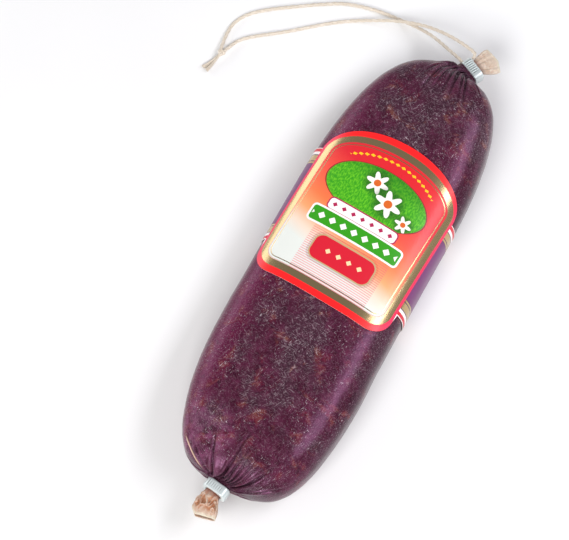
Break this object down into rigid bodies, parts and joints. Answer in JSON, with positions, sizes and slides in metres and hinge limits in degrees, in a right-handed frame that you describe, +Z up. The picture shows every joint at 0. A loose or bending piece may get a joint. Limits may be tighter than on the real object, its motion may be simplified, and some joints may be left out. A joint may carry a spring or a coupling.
{
  "type": "cured sausage",
  "caption": "Flattened dry-cured sausage in a dark natural casing, closed by metal clips, with a wrapped paper label and a loop of twine.",
  "frame": {"origin": "middle of the underside of the sausage with its clips and tails, without the twine, on the surface it lies on", "axes": "+Y along the sausage, from its plain clip to the clip with the twine; +Z up, through its flattened thickness; +X to its right"},
  "size_m": [0.1359, 0.2464, 0.0318],
  "materials": {
    "casing": "natural casing, dried, satin with a faint pale bloom",
    "label_paper": "printed paper, semi-gloss",
    "clip_metal": "bare, pressed",
    "twine": "natural fibre, lightly twisted"
  },
  "bodies": {
    "root": {"sausage": "casing", "label": "label_paper", "clip_near": "clip_metal", "clip_far": "clip_metal", "string_a": "twine", "string_b": "twine", "string_knot": "twine"}
  },
  "joints": []
}
